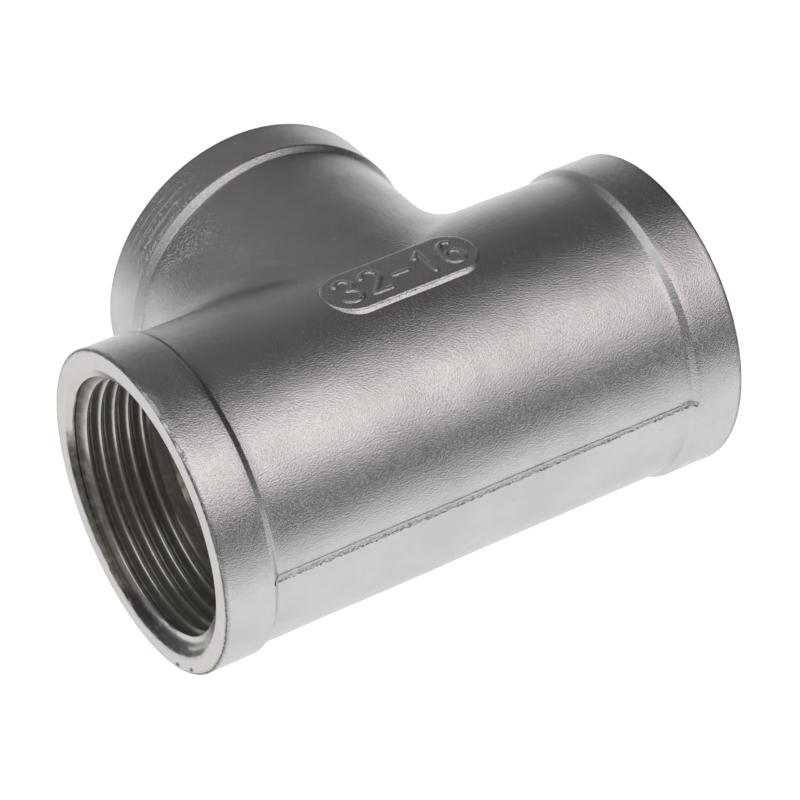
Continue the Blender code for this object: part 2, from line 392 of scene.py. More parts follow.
def shares_round(angles, table):
    """Value of a table of (degrees, share) at each angle round a mouth."""
    degrees, shares = zip(*table)
    return np.interp(np.degrees(angles), degrees, shares, period=360)


def bare_edge(leg, angles):
    """Where the dirt has flaked off the left countersink's edge, in short pieces."""
    pieces = smooth_step(0.5 + np.sin(61 * angles) * np.sin(43 * angles + 1))
    return shares_round(angles, BARE_EDGE) * pieces * (leg.name == "left")


def add_rings(skin, leg, angles, rows, material):
    """Surface through rings given as distance along the leg, radius, polish with painted highlights, and
    stain with painted shade.
    """
    grid = np.array([leg.place(leg.side, angles, distance, radius) for distance, radius, _, _ in rows])
    values = [np.array([np.broadcast_to(row[part], angles.shape) for row in rows]) for part in (1, 2, 3)]
    skin.add_grid(grid, material, True, *values)


def add_outside(skin, leg, angles, sizes):
    """Barrel, shoulder, bead and rounded rim of one leg."""
    barrel = sizes.bead_radius - sizes.bead_rise
    land = leg.length - leg.bead
    foot = land - sizes.shoulder_length
    root = contact(angles, barrel + sizes.crotch_radius, leg)
    draw = np.random.default_rng(CAST_SEED)
    knocks = shares_round(angles, KNOCKS) * smooth_step(draw.uniform(*KNOCK_DRAW, len(angles)))
    knocks = knocks * (leg.name == "left")
    # Painted shade at the shoulders' feet, strongest on top of the left leg
    foot_dirt = shares_round(angles, FOOT_DIRT) * (1 if leg.name == "left" else OTHER_FOOT_DIRT)
    # Painted dark reflection along the beads' rounded corners, broken up by a seeded draw
    corner_dirt = shares_round(angles, CORNER_DIRT)
    corner_dirt = np.maximum(corner_dirt, RIGHT_CORNER_DIRT * (leg.name == "right"))
    corner_dirt = corner_dirt * (1 - knocks) * draw.uniform(*CORNER_DIRT_DRAW, len(angles))
    scuffs = shares_round(angles, SCUFFS) * (leg.name == "branch")
    rows = []
    for step in range(BARREL_ROWS + 1):
        share = step / BARREL_ROWS
        scuffed = BARREL_SCUFFS * scuffs * smooth_step(3 * share - 1.2)
        rows.append((root + (foot - root) * share, barrel, scuffed, 0.0))
    for step in range(1, SHOULDER_ROWS + 1):
        share = step / SHOULDER_ROWS
        radius = barrel + sizes.bead_rise * even_slope(share)
        # Painted shade across the shoulder, darkest nearer its foot
        settled = foot_dirt * (1 - abs(2 * share - 0.7))
        rows.append((foot + sizes.shoulder_length * share, radius, 0.0, settled))
    rim = leg.length - sizes.rim_round
    edge = rim - sizes.rim_round
    land_rows = SCUFFED_LAND_ROWS if leg.name == "branch" else LAND_ROWS
    for step in range(1, land_rows + 1):
        scuffed = BEAD_SCUFFS * scuffs * smooth_step(draw.uniform(*SCUFF_DRAW)) * draw.uniform(0.5, 1)
        rows.append((land + (edge - land) * step / land_rows, sizes.bead_radius, scuffed, 0.0))
    for step in range(RIM_ROWS + 1):
        turn = math.pi / 2 * step / RIM_ROWS
        fall = (1 - math.cos(turn)) * (1 - knocks) + (1 + math.sin(turn)) / 2 * knocks
        # Painted dark reflection on the rim's rounding, darkest next to the face, except where knocks have
        # bevelled it
        dirty = np.maximum(corner_dirt, smooth_step(2 * step / RIM_ROWS - 0.3) * (1 - knocks))
        polish = np.maximum(step / RIM_ROWS, knocks)
        radius = sizes.bead_radius - sizes.rim_round * fall
        rows.append((rim + sizes.rim_round * math.sin(turn), radius, polish, dirty * (1 if step else 0.7)))
    add_rings(skin, leg, angles, rows, CAST)


def add_face(skin, leg, angles, sizes):
    """Turned ring between the rim and the countersink, with its broken inner edge."""
    outer = sizes.bead_radius - sizes.rim_round
    inner = sizes.chamfer_radius + sizes.edge_break
    dirt = shares_round(angles, EDGE_DIRT)
    nicks = shares_round(angles, NICKS) * (leg.name == "left")
    patchy = np.random.default_rng(CAST_SEED).uniform(*EDGE_DIRT_DRAW, (3, len(angles))) * dirt
    bare = bare_edge(leg, angles)
    rows = (
        # The face's outer edge carries on the rim's painted dark line at a lower share
        (leg.length, outer, 0.6, np.maximum(0.3, nicks)),
        (leg.length, outer - 3 * sizes.edge_break, 0.0, 1.4 * nicks),
        (leg.length, outer - 6 * sizes.edge_break, 0.0, 1.2 * nicks),
        (leg.length, outer - 8 * sizes.edge_break, 0.0, 0.0),
        (leg.length, inner + 10 * sizes.edge_break, 0.0, 0.0),
        (leg.length, inner + 6 * sizes.edge_break, 0.0, 0.15 * patchy[0]),
        (leg.length, inner + 3 * sizes.edge_break, 0.5 * bare, 0.3 * patchy[1]),
        (leg.length, inner + sizes.edge_break, bare, 0.4 * dirt + 0.3 * patchy[2]),
        (leg.length - sizes.edge_break, sizes.chamfer_radius, 0.0, 1.2 * dirt),
    )
    add_rings(skin, leg, angles, rows, MACHINED)


def thread_points():
    """One pitch of the rounded thread as (place, rise, polish with painted highlight), in pitches from a
    crest.
    """
    tangent = THREAD_ROUNDING * math.cos(THREAD_FLANK)
    toe = THREAD_ROUNDING * (1 - math.sin(THREAD_FLANK))

    def rise(place):
        if place <= tangent:
            return THREAD_ROUNDING - math.sqrt(THREAD_ROUNDING**2 - place**2)
        if place <= 0.5 - tangent:
            return toe + (place - tangent) / math.tan(THREAD_FLANK)
        return THREAD_RISE - rise(0.5 - place)

    places = (0, tangent / 2, tangent, 0.25, 0.5 - tangent, 0.5 - tangent / 2)
    falling = [(place, rise(place), float(place <= tangent)) for place in places]
    # Painted highlight: the rising flank's polish grows towards the crest, as its shading does
    bright = [min(1, place / FLANK_REACH) ** FLANK_POWER for place in places]
    rising = [(0.5 + place, THREAD_RISE - rise(place), part) for place, part in zip(places, bright)]
    return falling + rising


def socket_finish(angles, deep, clear, place, bright, on_thread, fouled):
    """Polish and stain of a row, with painted light: bright crests with a painted reflection that changes
    round the mouth, painted highlights on the rising flanks, film in the grooves with painted shade at the
    mouth and on the shaded row, dirt caked at the mouth.

    Here deep is the depth in pitches, and clear is the distance outwards from the countersink.
    """
    shine, dirt = shares_round(angles, CREST_SHINE), shares_round(angles, EDGE_DIRT)
    dirt_depth = shares_round(angles, DIRT_DEPTH)
    inner = smooth_step(deep - 1)
    first_crest = RUBBED_FIRST * (place > RUBBED_FROM) * (1 - inner)
    worn = bright * np.where(bright < CREST_ONLY, inner, 1)
    # The crests' polish and the film cleared from the flanks follow a painted reflection that changes round
    # the mouth
    polish = np.maximum(worn, first_crest) * shine * on_thread
    cleared = RISING_CLEARED if place > 0.5 else FALLING_CLEARED
    film = 1 - shine * cleared * smooth_step(deep)
    # Painted shade: the first turn at the mouth gets more film than the rest
    film = film * np.clip(clear / FILM_START, 0, 1) * (1 + MOUTH_FILM * (1 - inner))
    # Painted shade of the countersink's edge: a dark line on the shaded row, following the countersinks'
    # dirt
    if fouled:
        film = np.maximum(film, FOULED_DIRT * dirt)
    fade = DIRT_FADE[0] + DIRT_FADE[1] * dirt_depth
    caked = dirt * (1 - smooth_step((deep - dirt_depth) / fade)) * (1 - bright * on_thread)
    return polish, np.maximum(film, caked)


def add_socket(skin, leg, sizes):
    """Countersink, helical thread and its run-out, with each row one turn of the helix."""
    pitch = sizes.thread_pitch
    crest = sizes.thread_major - THREAD_RISE * pitch
    turns = np.linspace(0, 1, COLUMNS + 1)
    angles = leg.turn * 2 * math.pi * turns
    draw = random.Random(CAST_SEED)
    grid, lay, polish, stain = [], [], [], []
    for pitches in range(FIRST_ROW[0], math.ceil(sizes.socket_depth / pitch) + 1):
        for place, rise, bright in thread_points():
            depth = sizes.thread_start + pitch * (pitches + place + turns)
            depth = np.clip(depth, sizes.edge_break, sizes.socket_depth)
            if depth[0] == depth[-1] and depth[0] > sizes.edge_break:
                continue
            left = np.clip((sizes.thread_length + pitch - depth) / pitch, 0, 1)
            threaded = crest + rise * pitch * left
            countersink = sizes.chamfer_radius - COUNTERSINK_SLOPE * (depth - sizes.edge_break)
            run_out = np.minimum(crest + depth - sizes.thread_length, sizes.core_radius)
            radius = np.maximum.reduce((threaded, countersink, run_out))
            grid.append(leg.place(leg.side, angles, leg.length - depth, radius))
            lay.append(radius)
            clear, on_thread = radius - countersink, threaded >= radius
            fouled = (pitches, place) == FOULED_ROW
            shone, stained = socket_finish(angles, depth / pitch, clear, place, bright, on_thread, fouled)
            polish.append(bare_edge(leg, angles) if (pitches, place) == FIRST_ROW else shone)
            stain.append(stained * draw.uniform(*THREAD_DIRT_DRAW))
    end = np.full(COLUMNS + 1, sizes.core_radius)
    grid.append(leg.place(leg.side, angles, leg.length - sizes.socket_depth, end))
    lay.append(end)
    polish.append(0 * end)
    stain.append(0 * end + 1)
    skin.add_grid(
        np.array(grid),
        MACHINED,
        closed=False,
        lay=np.array(lay),
        polish=np.array(polish),
        stain=np.array(stain),
    )


def add_cored_wall(skin, leg, angles, sizes):
    """Cast bore from the thread's run-out to where the bores meet."""
    root = contact(angles, sizes.core_radius + sizes.core_round, leg)
    end = leg.length - sizes.socket_depth
    grid = np.array(
        [
            leg.place(leg.side, angles, root + (end - root) * step / WALL_ROWS, sizes.core_radius)
            for step in range(WALL_ROWS + 1)
        ]
    )
    # Painted shade: the branch's bore is darkened all along
    skin.add_grid(grid, CORED, closed=True, lay=sizes.core_radius, stain=float(leg.name == "branch"))


def dips(points):
    """Share from 0 to 1 of the cast skin's dip at each point, in slow seeded waves."""
    draw = random.Random(CAST_SEED)
    total = np.zeros(len(points))
    for _ in range(CAST_WAVES):
        direction = np.array([draw.gauss(0, 1) for _ in range(3)])
        direction /= np.linalg.norm(direction)
        wavelength = draw.uniform(*CAST_WAVELENGTHS)
        total += np.sin(points @ direction * 2 * math.pi / wavelength + draw.uniform(0, 2 * math.pi))
    return 0.5 + 0.5 * np.tanh(total / math.sqrt(CAST_WAVES))


def sink_unevenly(mesh, sizes):
    """Pushes the cast skin inwards by its dips, fading out at the mouths."""
    count = len(mesh.vertices)
    points, normals, casting = np.empty(3 * count), np.empty(3 * count), np.empty(count)
    mesh.vertices.foreach_get("co", points)
    mesh.vertex_normals.foreach_get("vector", normals)
    mesh.attributes["casting"].data.foreach_get("value", casting)
    points, normals = points.reshape(-1, 3), normals.reshape(-1, 3)
    to_run_face = sizes.run_half_length - np.abs(points[:, 0])
    to_branch_face = CROSSING.y + sizes.branch_length - points[:, 1]
    fade = smooth_step((np.minimum(to_run_face, to_branch_face) - sizes.rim_round) / sizes.bead_rise)
    depth = sizes.unevenness * dips(points) * fade * (casting > 0.5)
    mesh.vertices.foreach_set("co", (points - normals * depth[:, None]).ravel())
    mesh.update()


def lumpy(across, up, size, seed):
    """Seeded smooth noise from 0 to 1 over a flat grid, with lumps of one size."""
    column, row = (across - across.min()) / size, (up - up.min()) / size
    lattice = np.random.default_rng(seed).random((int(row.max()) + 2, int(column.max()) + 2))
    left, below = column.astype(int), row.astype(int)
    share, climb = smooth_step(column - left), smooth_step(row - below)
    lower = lattice[below, left] * (1 - share) + lattice[below, left + 1] * share
    upper = lattice[below + 1, left] * (1 - share) + lattice[below + 1, left + 1] * share
    return lower * (1 - climb) + upper * climb


def add_piece(name, mesh, materials):
    """Object that stands for the tee's body and moves with it."""
    mesh.shade_smooth()
    mesh.set_sharp_from_angle(angle=SHARP_EDGE)
    for material in materials:
        mesh.materials.append(material)
    piece = bpy.data.objects.new(name, mesh)
    bpy.context.scene.collection.objects.link(piece)
    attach(piece, "root")
    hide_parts("tee_body")
    return piece


def sort_by_place(parts, place):
    """Gives points or faces one order, because extruded ones come in another order in each run."""
    ranks = {part: rank for rank, part in enumerate(sorted(parts, key=place))}
    parts.sort(key=ranks.get)


def relief_mesh(name, points, keep, values, down):
    """Closed solid under a grid of points: faces whose corners all are kept, walls and a base."""
    rows, columns = keep.shape
    index = np.arange(rows * columns).reshape(rows, columns)
    quads = np.stack((index[:-1, :-1], index[:-1, 1:], index[1:, 1:], index[1:, :-1]), -1)
    corners = np.stack((keep[:-1, :-1], keep[:-1, 1:], keep[1:, 1:], keep[1:, :-1]), -1)
    quads = quads[corners.all(-1)]
    mesh = bpy.data.meshes.new(name)
    mesh.from_pydata(points.reshape(-1, 3).tolist(), [], quads.tolist())
    for label, value in values.items():
        attribute = mesh.attributes.new(label, "FLOAT", "POINT")
        attribute.data.foreach_set("value", np.broadcast_to(value, keep.shape).astype(np.float32).ravel())
    bm = bmesh.new()
    bm.from_mesh(mesh)
    bmesh.ops.delete(bm, geom=[vert for vert in bm.verts if not vert.link_faces], context="VERTS")
    border = [edge for edge in bm.edges if edge.is_boundary]
    made = bmesh.ops.extrude_edge_only(bm, edges=border)["geom"]
    lower = [item for item in made if isinstance(item, bmesh.types.BMVert)]
    bmesh.ops.translate(bm, vec=down, verts=lower)
    bmesh.ops.holes_fill(bm, edges=[item for item in made if isinstance(item, bmesh.types.BMEdge)])
    bmesh.ops.triangulate(bm, faces=[face for face in bm.faces if len(face.verts) > 4])
    bmesh.ops.recalc_face_normals(bm, faces=bm.faces)
    sort_by_place(bm.verts, lambda vert: vert.co[:])
    sort_by_place(bm.faces, lambda face: face.calc_center_median()[:])
    bm.to_mesh(mesh)
    bm.free()
    return mesh


def arc(across, up, radius_across, radius_up, start, end, steps=14):
    """Points of an ellipse's arc between two angles in degrees."""
    angles = np.radians(np.linspace(start, end, steps))
    return [(across + radius_across * math.cos(a), up + radius_up * math.sin(a)) for a in angles]


def numeral_strokes():
    """Lines of each numeral in a box one unit high and 0.6 wide."""
    return {
        "0": [arc(0.3, 0.5, 0.26, 0.5, 0, 360, 28)],
        "1": [[(0.12, 0.78), (0.34, 1), (0.34, 0)]],
        "2": [arc(0.3, 0.73, 0.26, 0.27, 165, -35) + [(0.05, 0), (0.58, 0)]],
        "3": [arc(0.28, 0.75, 0.25, 0.25, 150, -80) + arc(0.28, 0.26, 0.28, 0.26, 85, -150)],
        "4": [[(0.44, 0), (0.44, 1), (0.02, 0.3), (0.6, 0.3)]],
        "5": [[(0.54, 1), (0.12, 1), (0.07, 0.55)] + arc(0.28, 0.31, 0.28, 0.31, 125, -145)],
        "6": [arc(0.34, 0.5, 0.3, 0.5, 65, 180) + arc(0.3, 0.28, 0.26, 0.28, 180, -180, 24)],
        "7": [[(0.03, 1), (0.57, 1), (0.2, 0)]],
        "8": [arc(0.3, 0.76, 0.22, 0.24, 0, 360, 20), arc(0.3, 0.27, 0.27, 0.27, 0, 360, 24)],
        "9": [arc(0.26, 0.5, 0.3, 0.5, -115, 0) + arc(0.3, 0.72, 0.26, 0.28, 0, 360, 24)],
        "-": [[(0.1, 0.45), (0.5, 0.45)]],
    }


def distance_to_numbers(across, up, sizes):
    """Distance from each point of the pad to the nearest line of its numbers."""
    strokes = numeral_strokes()
    unknown = set(sizes.numbers) - set(strokes)
    if unknown:
        raise ValueError(f"the pad takes numerals and dashes only, not {sorted(unknown)}")
    advance = NUMERAL_STEP * sizes.number_height
    gap = (NUMERAL_STEP - NUMERAL_WIDTH) * sizes.number_height
    start = -(advance * len(sizes.numbers) - gap) / 2
    nearest = np.full(across.shape, sizes.pad_length)
    for place, numeral in enumerate(sizes.numbers):
        for line in strokes[numeral]:
            corners = np.array(line) * sizes.number_height
            corners += (start + advance * place, -sizes.number_height / 2)
            for (x0, y0), (x1, y1) in zip(corners, corners[1:]):
                span = (x1 - x0) ** 2 + (y1 - y0) ** 2
                share = np.clip(((across - x0) * (x1 - x0) + (up - y0) * (y1 - y0)) / span, 0, 1)
                away = np.hypot(across - x0 - share * (x1 - x0), up - y0 - share * (y1 - y0))
                nearest = np.minimum(nearest, away)
    return nearest


class TEE_OT_casting(bpy.types.Operator):
    """Build the cast body with its beads, rolling-ball crotch and helical threads"""

    bl_idname = "tee.casting"
    bl_label = "Casting"

    def execute(self, context):
        sizes = context.scene.tee_sizes
        skin = Skin()
        angles = np.linspace(0, 2 * math.pi, COLUMNS, endpoint=False)
        for leg in tee_legs(sizes):
            add_outside(skin, leg, angles, sizes)
            add_face(skin, leg, angles, sizes)
            add_socket(skin, leg, sizes)
            add_cored_wall(skin, leg, angles, sizes)
        add_fillets(skin, sizes.bead_radius - sizes.bead_rise, sizes.crotch_radius, FILLET_ROWS, CAST)
        # Painted shade on the rounds where the cored bores meet
        add_fillets(skin, sizes.core_radius, sizes.core_round, FILLET_ROWS // 2, CORED, stain=1.0)
        mesh = skin.to_mesh("tee_casting")
        sink_unevenly(mesh, sizes)
        colours = context.scene.tee_colours
        add_piece("tee_casting", mesh, [cast_skin(colours), machined_steel(colours), cored_wall(colours)])
        return {"FINISHED"}


class TEE_OT_marking_pad(bpy.types.Operator):
    """Build the oblong pad on the crown with its raised numbers"""

    bl_idname = "tee.marking_pad"
    bl_label = "Marking pad"

    def execute(self, context):
        sizes = context.scene.tee_sizes
        half_length = sizes.pad_length / 2 + PAD_MARGIN
        half_width = sizes.pad_width / 2 + PAD_MARGIN
        across, up = np.meshgrid(
            np.arange(-half_length, half_length + PAD_GRID, PAD_GRID),
            np.arange(-half_width, half_width + PAD_GRID, PAD_GRID),
        )
        end_radius = sizes.pad_width / 2
        straight = sizes.pad_length / 2 - end_radius
        outside = np.hypot(np.maximum(np.abs(across) - straight, 0), up) - end_radius
        keep = outside < PAD_MARGIN
        ground = self.crown_heights(sizes.pad_shift + across, up, keep)
        top = CROSSING.z + sizes.bead_radius - sizes.bead_rise + sizes.pad_rise
        fall = (outside + np.hypot(outside, sizes.pad_round)) / 2
        away = distance_to_numbers(across, up, sizes)
        stroke = 1 - smooth_step((away / sizes.stroke_width - STROKE_TOP) / STROKE_SLOPE)
        height = np.maximum(top - PAD_SLOPE * fall, ground - PAD_SEAT) + sizes.number_rise * stroke
        points = np.stack((CROSSING.x + sizes.pad_shift + across, CROSSING.y + up, height), -1)
        edge = smooth_step(1 - np.abs(outside) / (2 * sizes.pad_round))
        mesh = relief_mesh("marking_pad", points, keep, {"polish": np.maximum(edge, stroke)}, PAD_BASE)
        add_piece("marking_pad", mesh, [cast_skin(context.scene.tee_colours)])
        return {"FINISHED"}

    def crown_heights(self, across, up, keep):
        """Height of the casting under each point of the pad."""
        casting = bpy.data.objects["tee_casting"]
        graph = bpy.context.evaluated_depsgraph_get()
        tree = BVHTree.FromObject(casting, graph)
        above = HIGH.z + MM
        heights = np.full(across.shape, CROSSING.z)
        for row, column in zip(*np.nonzero(keep)):
            start = (CROSSING.x + across[row, column], CROSSING.y + up[row, column], above)
            heights[row, column] = tree.ray_cast(start, (0, 0, -1))[0].z
        return heights


class TEE_OT_parting_ridge(bpy.types.Operator):
    """Build the ragged ridge that the mould joint left on the front of the run"""

    bl_idname = "tee.parting_ridge"
    bl_label = "Parting ridge"

    def execute(self, context):
        sizes = context.scene.tee_sizes
        barrel = sizes.bead_radius - sizes.bead_rise
        reach = sizes.run_half_length - sizes.bead_length - RIDGE_ENDS
        step_along, step_up = RIDGE_GRID
        along, up = np.meshgrid(
            np.arange(-reach, reach, step_along),
            np.arange(-sizes.ridge_width, sizes.ridge_width + step_up, step_up),
        )
        half_width = sizes.ridge_width / 2 * (1 - RIDGE_TAPER * smooth_step(along / reach))
        lumps = lumpy(along, up, RIDGE_LUMPS, CAST_SEED + 1) - 0.5
        pits = lumpy(along, up, RIDGE_PITS, CAST_SEED + 2)
        inside = half_width - np.hypot(np.maximum(np.abs(along) - reach + half_width, 0), up)
        ragged = np.clip(0.5 - up / half_width, 0, 1)
        inside = inside + ragged * (LUMP_SHIFT * lumps + PIT_SHIFT * (pits - 0.5))
        steep = smooth_step(0.5 + inside / RIDGE_SLOPE)
        rise = sizes.ridge_rise * steep * (0.55 + 0.45 * ragged - 0.4 * ragged * pits)
        sunk = RIDGE_SEAT * (1 - steep)
        height = sizes.ridge_lift + up
        foot = sizes.run_half_length - sizes.bead_length - sizes.shoulder_length
        seat = np.stack((along, np.full(along.shape, CROSSING.y - barrel), CROSSING.z + height), -1)
        dip = sizes.unevenness * dips(seat.reshape(-1, 3)).reshape(along.shape)
        ground = barrel - dip + sizes.bead_rise * even_slope((np.abs(along) - foot) / sizes.shoulder_length)
        depth = CROSSING.y - np.sqrt((ground + rise - sunk) ** 2 - height**2)
        points = np.stack((along, depth, CROSSING.z + height), -1)
        values = self.finish(inside, ragged, pits, steep)
        mesh = relief_mesh("parting_ridge", points, np.full(along.shape, True), values, RIDGE_BASE)
        add_piece("parting_ridge", mesh, [cast_skin(context.scene.tee_colours)])
        return {"FINISHED"}

    def finish(self, inside, ragged, pits, steep):
        """Dirt and painted shade along both sides of the ridge, dirt in its pits, and rubbed steel on its
        high spots.
        """
        # Dirt and painted shade along the ragged lower side, reaching outside the ridge as a soft painted
        # shadow; a painted shade line along the even upper side
        ragged_side = ragged * np.clip(1.3 - np.abs(inside) / RAGGED_DIRT, 0, 1) * (0.5 + pits)
        even_side = (1 - ragged) * np.clip(1.2 - np.abs(inside + EVEN_DIRT_OUT) / EVEN_DIRT, 0, 1)
        over = smooth_step(inside / PIT_DIRT_START - 2.2 * (1 - ragged))
        mottled = (0.3 + 0.45 * ragged) * np.clip(3 * (pits - 0.3), 0, 1) * over
        glints = np.clip(4 * (0.35 - pits), 0, 1) * steep
        return {
            "stain": np.clip(ragged_side + 0.5 * even_side + mottled, 0, 1),
            "polish": np.maximum(glints, steep * (1 - smooth_step(inside / RIDGE_RUBBED))),
        }


def place_node(tree, kind, values=None, **settings):
    """Adds a node, makes its settings, and sets or links each named input."""
    node = tree.nodes.new(kind)
    for name, value in settings.items():
        setattr(node, name, value)
    for name, value in (values or {}).items():
        if isinstance(value, bpy.types.NodeSocket):
            tree.links.new(value, node.inputs[name])
        else:
            node.inputs[name].default_value = value
    node.location = (180 * len(tree.nodes), 0)
    return node


def calculate(tree, operation, first, second=0.5, clamp=False):
    settings = {"operation": operation, "use_clamp": clamp}
    return place_node(tree, "ShaderNodeMath", {0: first, 1: second}, **settings).outputs[0]


def product(tree, value, *factors):
    for factor in factors:
        value = calculate(tree, "MULTIPLY", value, factor)
    return value


def remap(tree, value, low, high, to_low=0.0, to_high=1.0):
    """Clamped, smooth change of one range into another."""
    inputs = {"Value": value, "From Min": low, "From Max": high, "To Min": to_low, "To Max": to_high}
    return place_node(tree, "ShaderNodeMapRange", inputs, interpolation_type="SMOOTHSTEP").outputs[0]


def blend(tree, factor, first, second):
    return place_node(tree, "ShaderNodeMix", {0: factor, 2: first, 3: second}).outputs[0]


def blend_colours(tree, factor, first, second):
    inputs = {0: factor, 6: first, 7: second}
    return place_node(tree, "ShaderNodeMix", inputs, data_type="RGBA").outputs[2]


def noise(tree, vector, scale, detail=2.0, **settings):
    inputs = {"Vector": vector, "Scale": scale, "Detail": detail}
    return place_node(tree, "ShaderNodeTexNoise", inputs, **settings).outputs[0]


def object_millimetres(tree, size):
    """Object coordinates measured in units of a size given in millimetres."""
    where = place_node(tree, "ShaderNodeTexCoord").outputs["Object"]
    inputs = {0: where, "Scale": calculate(tree, "DIVIDE", 1 / MM, size)}
    return place_node(tree, "ShaderNodeVectorMath", inputs, operation="SCALE").outputs[0]


def effect_group(name, inputs, outputs, build):
    """Node group with named numbers going in and out, made once."""
    if name in bpy.data.node_groups:
        return bpy.data.node_groups[name]
    group = bpy.data.node_groups.new(name, "ShaderNodeTree")
    for label, default in inputs.items():
        socket = group.interface.new_socket(label, in_out="INPUT", socket_type="NodeSocketFloat")
        socket.default_value = default
    for label in outputs:
        group.interface.new_socket(label, in_out="OUTPUT", socket_type="NodeSocketFloat")
    given = place_node(group, "NodeGroupInput").outputs
    result = build(group, given)
    place_node(group, "NodeGroupOutput", dict(zip(outputs, result)))
    return group


def use_group(tree, group, **values):
    named = {label.replace("_", " "): value for label, value in values.items()}
    return place_node(tree, "ShaderNodeGroup", named, node_tree=group).outputs


def blast_grain():
    """Orange-peel grain of a blasted casting, as a height and a mask of its pits."""

    def build(tree, given):
        coarse = noise(tree, object_millimetres(tree, given["Grain size"]), 1.0, 1.5)
        fine_size = product(tree, given["Grain size"], 0.36)
        fine = noise(tree, object_millimetres(tree, fine_size), 1.0, 1.0)
        height = calculate(tree, "ADD", coarse, product(tree, fine, given["Fine share"]))
        return height, remap(tree, coarse, 0.44, 0.30)

    return effect_group("Blast Grain", {"Grain size": 0.5, "Fine share": 0.3}, ("Height", "Pits"), build)


def cloudiness():
    """Soft patches of duller and brighter steel."""

    def build(tree, given):
        wide = noise(tree, object_millimetres(tree, given["Cloud size"]), 1.0, 3.0)
        return (remap(tree, wide, 0.35, 0.65),)

    return effect_group("Cloudiness", {"Cloud size": 8.0}, ("Tone",), build)


def turning_lines():
    """Fine rings left by a tool fed along the radius that the mesh carries."""

    def build(tree, given):
        radius = place_node(tree, "ShaderNodeAttribute", attribute_name="lay_radius").outputs["Fac"]
        feed = calculate(tree, "DIVIDE", given["Feed"], 1 / MM)
        turns = calculate(tree, "DIVIDE", radius, feed)
        inputs = {"W": turns, "Scale": 1.0, "Detail": 2.0}
        return (place_node(tree, "ShaderNodeTexNoise", inputs, noise_dimensions="1D").outputs[0],)

    return effect_group("Turning Lines", {"Feed": 0.12}, ("Height",), build)


def rubbed_edges():
    """Mask of edges that handling has brightened and of painted highlights on the threads, broken up by a
    fine noise.
    """

    def build(tree, given):
        edge = place_node(tree, "ShaderNodeAttribute", attribute_name="polish").outputs["Fac"]
        patchy = noise(tree, object_millimetres(tree, given["Patch size"]), 1.0, 2.0)
        broken = remap(tree, patchy, 0.30, 0.62, given["Least"], 1.0)
        ragged = calculate(tree, "ADD", edge, product(tree, patchy, 1.6))
        return calculate(tree, "MULTIPLY", edge, broken, clamp=True), remap(tree, ragged, 1.15, 1.40)

    return effect_group("Rubbed Edges", {"Patch size": 0.9, "Least": 0.25}, ("Mask", "Chips"), build)


def settled_grime():
    """Mask of the dirt, film and painted shade that the mesh carries, broken up by a fine noise."""

    def build(tree, given):
        where = place_node(tree, "ShaderNodeAttribute", attribute_name="stain").outputs["Fac"]
        patchy = noise(tree, object_millimetres(tree, given["Patch size"]), 1.0, 2.0)
        return (product(tree, where, remap(tree, patchy, 0.28, 0.58, given["Least"], 1.0)),)

    return effect_group("Settled Grime", {"Patch size": 0.5, "Least": 0.4}, ("Mask",), build)


def fine_scratches():
    """Sparse hairline scratches that run mostly one way."""

    def build(tree, given):
        where = object_millimetres(tree, given["Spacing"])
        drawn_out = {"Vector": where, "Rotation": (0.5, 0.35, 0.9), "Scale": (0.10, 1.6, 1.6)}
        field = noise(tree, place_node(tree, "ShaderNodeMapping", drawn_out).outputs[0], 1.0, 0.0)
        off_middle = calculate(tree, "ABSOLUTE", calculate(tree, "SUBTRACT", field, 0.5))
        line = remap(tree, off_middle, 0.012, 0.0)
        sparse = remap(tree, noise(tree, where, 0.35, 1.0), 0.56, 0.66)
        return (product(tree, line, sparse),)

    return effect_group("Fine Scratches", {"Spacing": 0.8}, ("Mask",), build)


# Colour that steel keeps at grazing angles
GRAZING_TINT = (0.93, 0.92, 0.92)

# How much clouds and pits dull the cast skin, how much steel shows on its rubbed edges, and how much
# painted shade darkens the branch's cored wall and the rounds where the bores meet
CLOUD_DULLING = 0.35
PIT_DULLING = 0.45
RUBBED_STEEL = 0.5
CORED_OXIDE = 0.75

# Roughness of each finish from its dull or clean parts to its bright or filmed ones, and what
# rubbing, grime with its painted shade, and scratches change in it
CAST_ROUGHNESS = (0.225, 0.19)
MACHINED_ROUGHNESS = (0.25, 0.45)
CORED_ROUGHNESS = (0.42, 0.34)
RUBBED_SMOOTHER = 0.05
GRIME_ROUGHER = 0.15
SCRATCH_ROUGHER = 0.1

# Depths of the bumps that are too fine for the mesh
GRAIN_DEPTH = 0.058 * MM
CHIP_DEPTH = 0.09 * MM
TURNING_DEPTH = 0.006 * MM
CORED_GRAIN_DEPTH = 0.10 * MM


def steel_material(name):
    """New material with a fully metallic shader."""
    material = bpy.data.materials.new(name)
    material.use_nodes = True
    shader = material.node_tree.nodes["Principled BSDF"]
    shader.inputs["Metallic"].default_value = 1.0
    shader.inputs["Specular Tint"].default_value = opaque(GRAZING_TINT)
    return material, material.node_tree, shader


def bump(tree, height, distance, normal=None):
    inputs = {"Height": height, "Distance": distance, "Strength": 1.0}
    if normal:
        inputs["Normal"] = normal
    return place_node(tree, "ShaderNodeBump", inputs).outputs[0]


def opaque(rgb):
    return (*rgb, 1.0)


